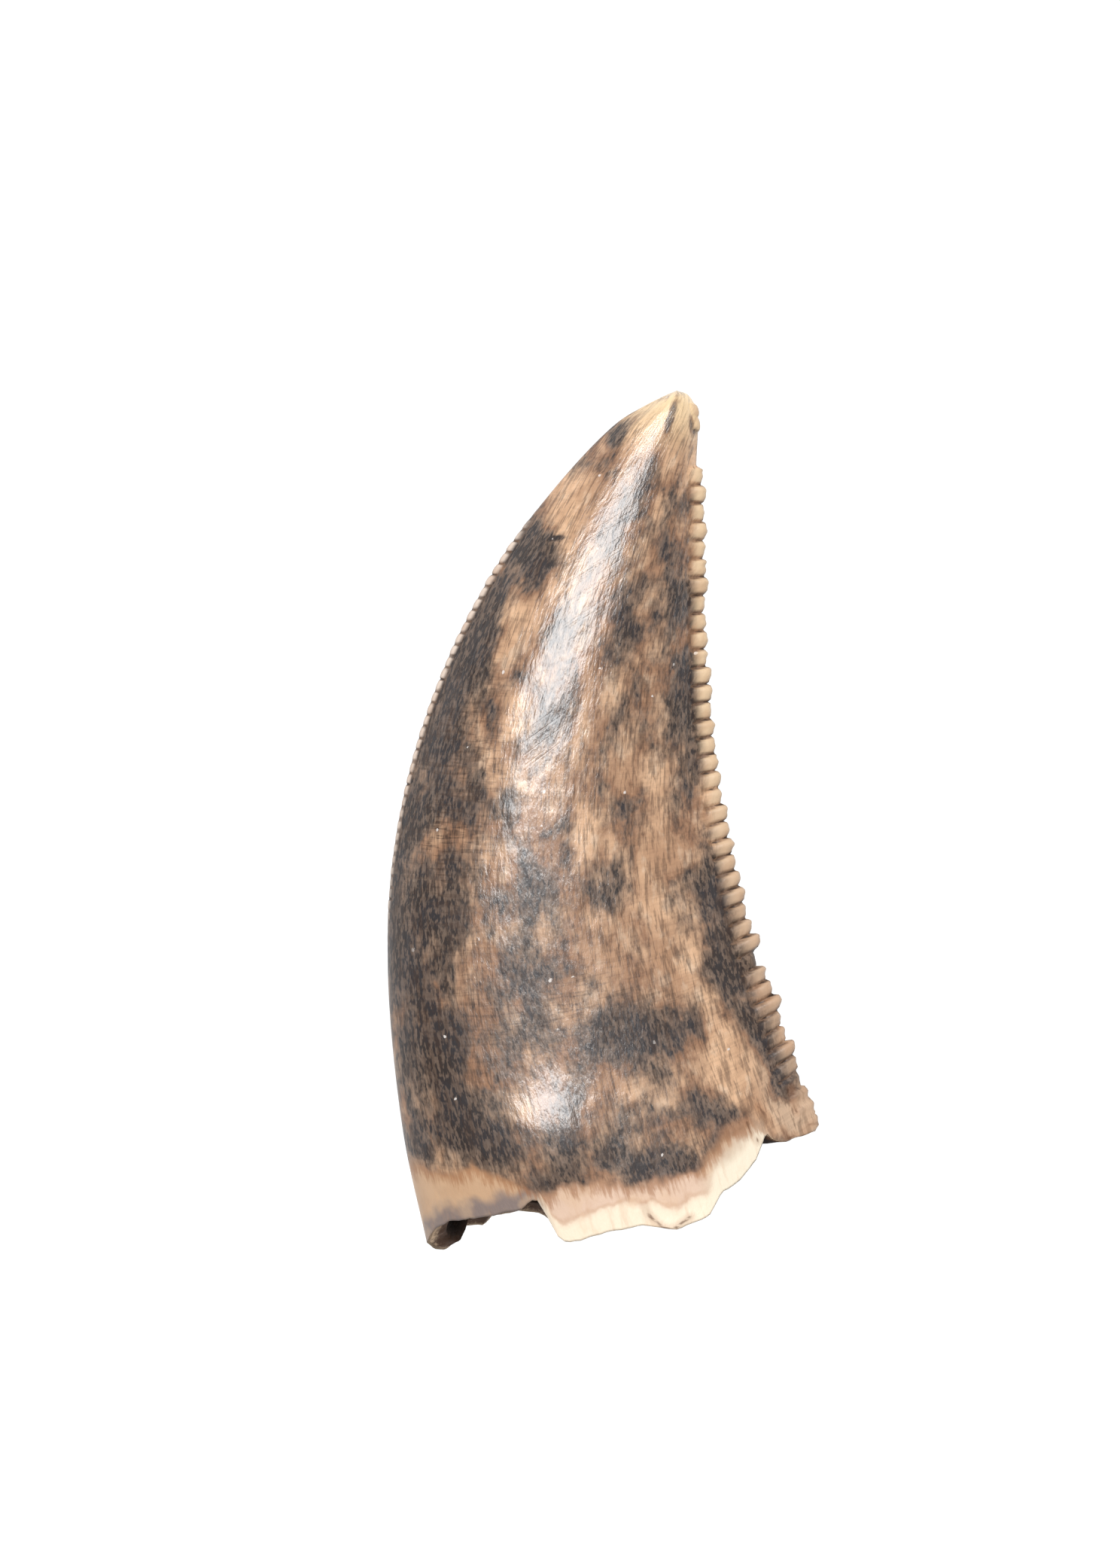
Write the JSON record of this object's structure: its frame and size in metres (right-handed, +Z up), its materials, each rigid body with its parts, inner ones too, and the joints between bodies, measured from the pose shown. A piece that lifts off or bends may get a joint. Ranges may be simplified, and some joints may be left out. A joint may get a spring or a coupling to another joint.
{
  "type": "saurornitholestes tooth",
  "caption": "Recurved, blade-shaped fossil tooth crown with saw-toothed edges and a broken, hollow base, lying on its flatter face.",
  "frame": {"origin": "below the middle of the crown's extents, on the surface that it rests on", "axes": "+Y from the broken base to the tip, +X from the convex front edge to the concave rear edge, +Z up through the two faces"},
  "size_m": [0.0058, 0.0114, 0.0023],
  "materials": {
    "stained_enamel": "glossy fossil enamel, tan and mid-brown, mottled blue-black, with cream saw teeth and a cream dentine rim at the broken base"
  },
  "bodies": {
    "root": {"tooth_crown": "stained_enamel"}
  },
  "joints": []
}
